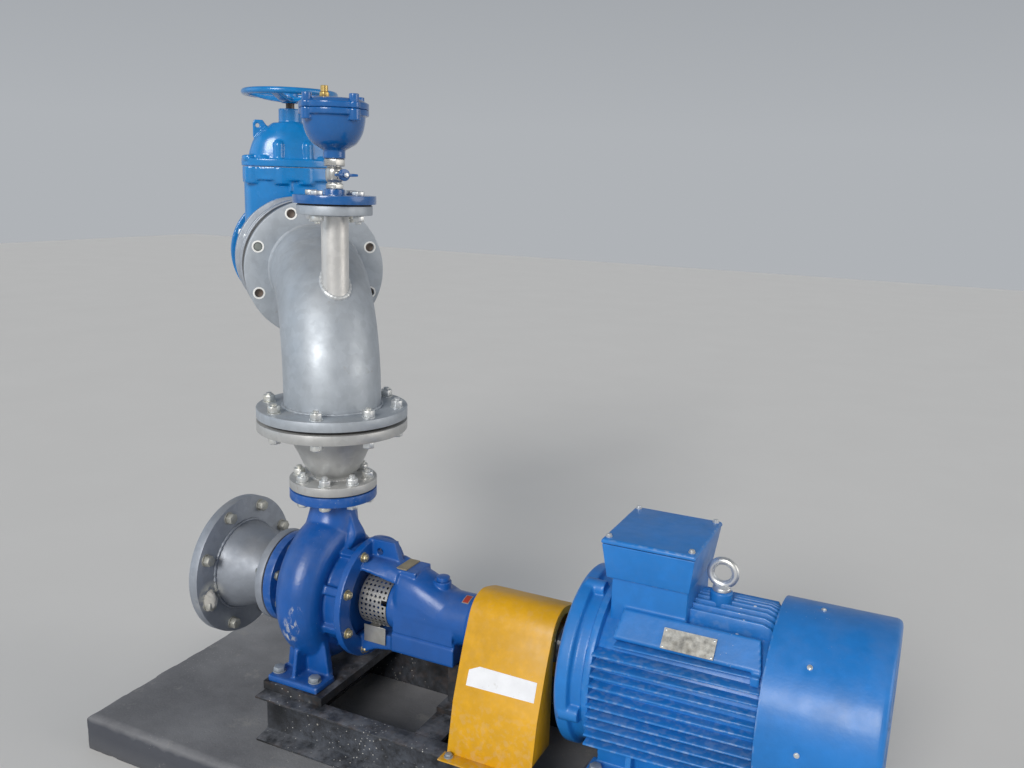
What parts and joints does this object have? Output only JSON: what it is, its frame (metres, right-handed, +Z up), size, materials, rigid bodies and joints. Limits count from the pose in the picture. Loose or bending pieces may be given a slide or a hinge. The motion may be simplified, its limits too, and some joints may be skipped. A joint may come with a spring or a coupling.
{
  "type": "end-suction centrifugal pump set",
  "caption": "Motor-driven end-suction pump on a steel frame and concrete plinth, with reducers, riser elbow, check valve, adjustable joint, gate valve and air release valve.",
  "frame": {"origin": "on the floor, straight below the crossing of the shaft line and the discharge axis", "axes": "+X along the shaft from the pump to the motor, +Y across the shaft towards the discharge leg, +Z up"},
  "size_m": [1.9672, 1.0542, 1.5866],
  "materials": {
    "concrete": "rough dusty concrete",
    "frame_black": "worn matt black paint",
    "pump_blue": "semi-gloss paint on casting",
    "motor_blue": "semi-gloss paint on casting",
    "valve_blue": "glossy epoxy coating",
    "vent_blue": "glossy epoxy coating",
    "galvanised": "galvanised",
    "zinc": "zinc plated",
    "bright_steel": "machined",
    "stainless": "satin sheet",
    "brass": "dull",
    "rubber": "matt",
    "check_black": "black coated",
    "fan_plastic": "matt",
    "guard_amber": "satin paint, scuffed",
    "label_white": "blank sticker"
  },
  "bodies": {
    "pump_set": {"plinth": "concrete", "frame_channel_near": "frame_black", "frame_channel_far": "frame_black", "cross_member_pump": "frame_black", "cross_member_bracket": "frame_black", "cross_member_motor": "frame_black", "cross_member_end": "frame_black", "pump_packing_plate": "frame_black", "motor_packing_near": "frame_black", "motor_packing_far": "frame_black", "bracket_support": "frame_black", "pump_casing": "pump_blue", "bearing_bracket": "pump_blue", "filler_cap": "pump_blue", "bracket_tag": "brass", "shaft_guard": "stainless", "pump_shaft": "bright_steel", "coupling_pump_half": "bright_steel", "coupling_motor_half": "bright_steel", "motor_shaft": "bright_steel", "coupling_ring": "rubber", "suction_gasket": "rubber", "discharge_gasket": "rubber", "riser_gasket": "rubber", "vent_gasket": "rubber", "check_valve": "check_black", "motor_fan": "fan_plastic", "coupling_guard": "guard_amber", "guard_label": "label_white", "suction_reducer": "galvanised", "discharge_reducer": "galvanised", "riser_elbow": "galvanised", "adjusting_joint_front": "galvanised", "adjusting_joint_rear": "galvanised", "vent_flange": "vent_blue", "ball_valve": "zinc", "air_valve_bowl": "vent_blue", "air_valve_cover": "vent_blue", "air_valve_plug": "brass", "gate_valve_body": "valve_blue", "gate_valve_bonnet": "valve_blue", "motor_frame": "motor_blue", "motor_drive_shield": "motor_blue", "motor_fan_shield": "motor_blue", "motor_fan_cover": "motor_blue", "terminal_box": "motor_blue", "terminal_box_lid": "motor_blue", "lifting_eyebolt": "zinc", "rating_plate": "zinc"},
    "handwheel": {"gate_valve_handwheel": "valve_blue", "gate_valve_stem": "bright_steel"},
    "ball_handle": {"ball_valve_handle": "vent_blue"}
  },
  "joints": [
    {"name": "handwheel_turn", "type": "hinge", "parent": "pump_set", "child": "handwheel", "pos_m": [-0.52467, 0.52467, 1.578], "axis": [0, 0, 1], "continuous": true},
    {"name": "ball_handle_turn", "type": "hinge", "parent": "pump_set", "child": "ball_handle", "pos_m": [0.006, 0.006, 1.357], "axis": [0.9272, -0.3746, 0], "range_deg": [0, 90]}
  ]
}
